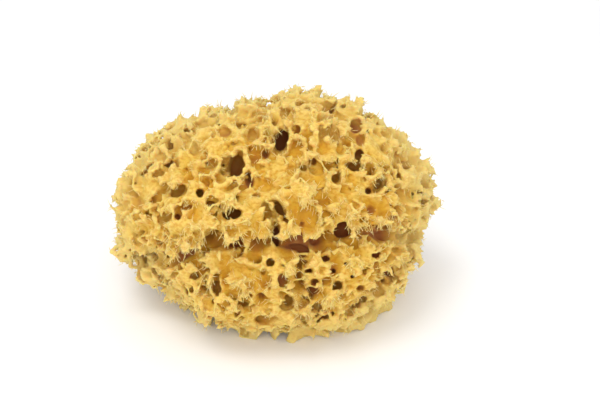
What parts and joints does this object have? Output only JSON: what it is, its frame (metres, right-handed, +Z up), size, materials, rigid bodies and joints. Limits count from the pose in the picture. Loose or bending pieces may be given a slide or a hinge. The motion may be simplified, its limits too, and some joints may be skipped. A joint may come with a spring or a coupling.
{
  "type": "natural sea sponge",
  "caption": "Rounded natural bath sponge with tufted lobes, folds and open pores, cut off flat underneath so that it stands by itself.",
  "frame": {"origin": "middle of the flat cut underneath, below the middle of the sponge's width and depth", "axes": "+X to the right across the sponge's width, +Y towards its back, +Z up from the flat cut; the face with the largest pores and the long fold looks towards -Y"},
  "size_m": [0.1458, 0.12, 0.0997],
  "materials": {
    "sponge_tissue": "matt, dry fibrous skeleton"
  },
  "bodies": {
    "root": {"sponge": "sponge_tissue"}
  },
  "joints": []
}
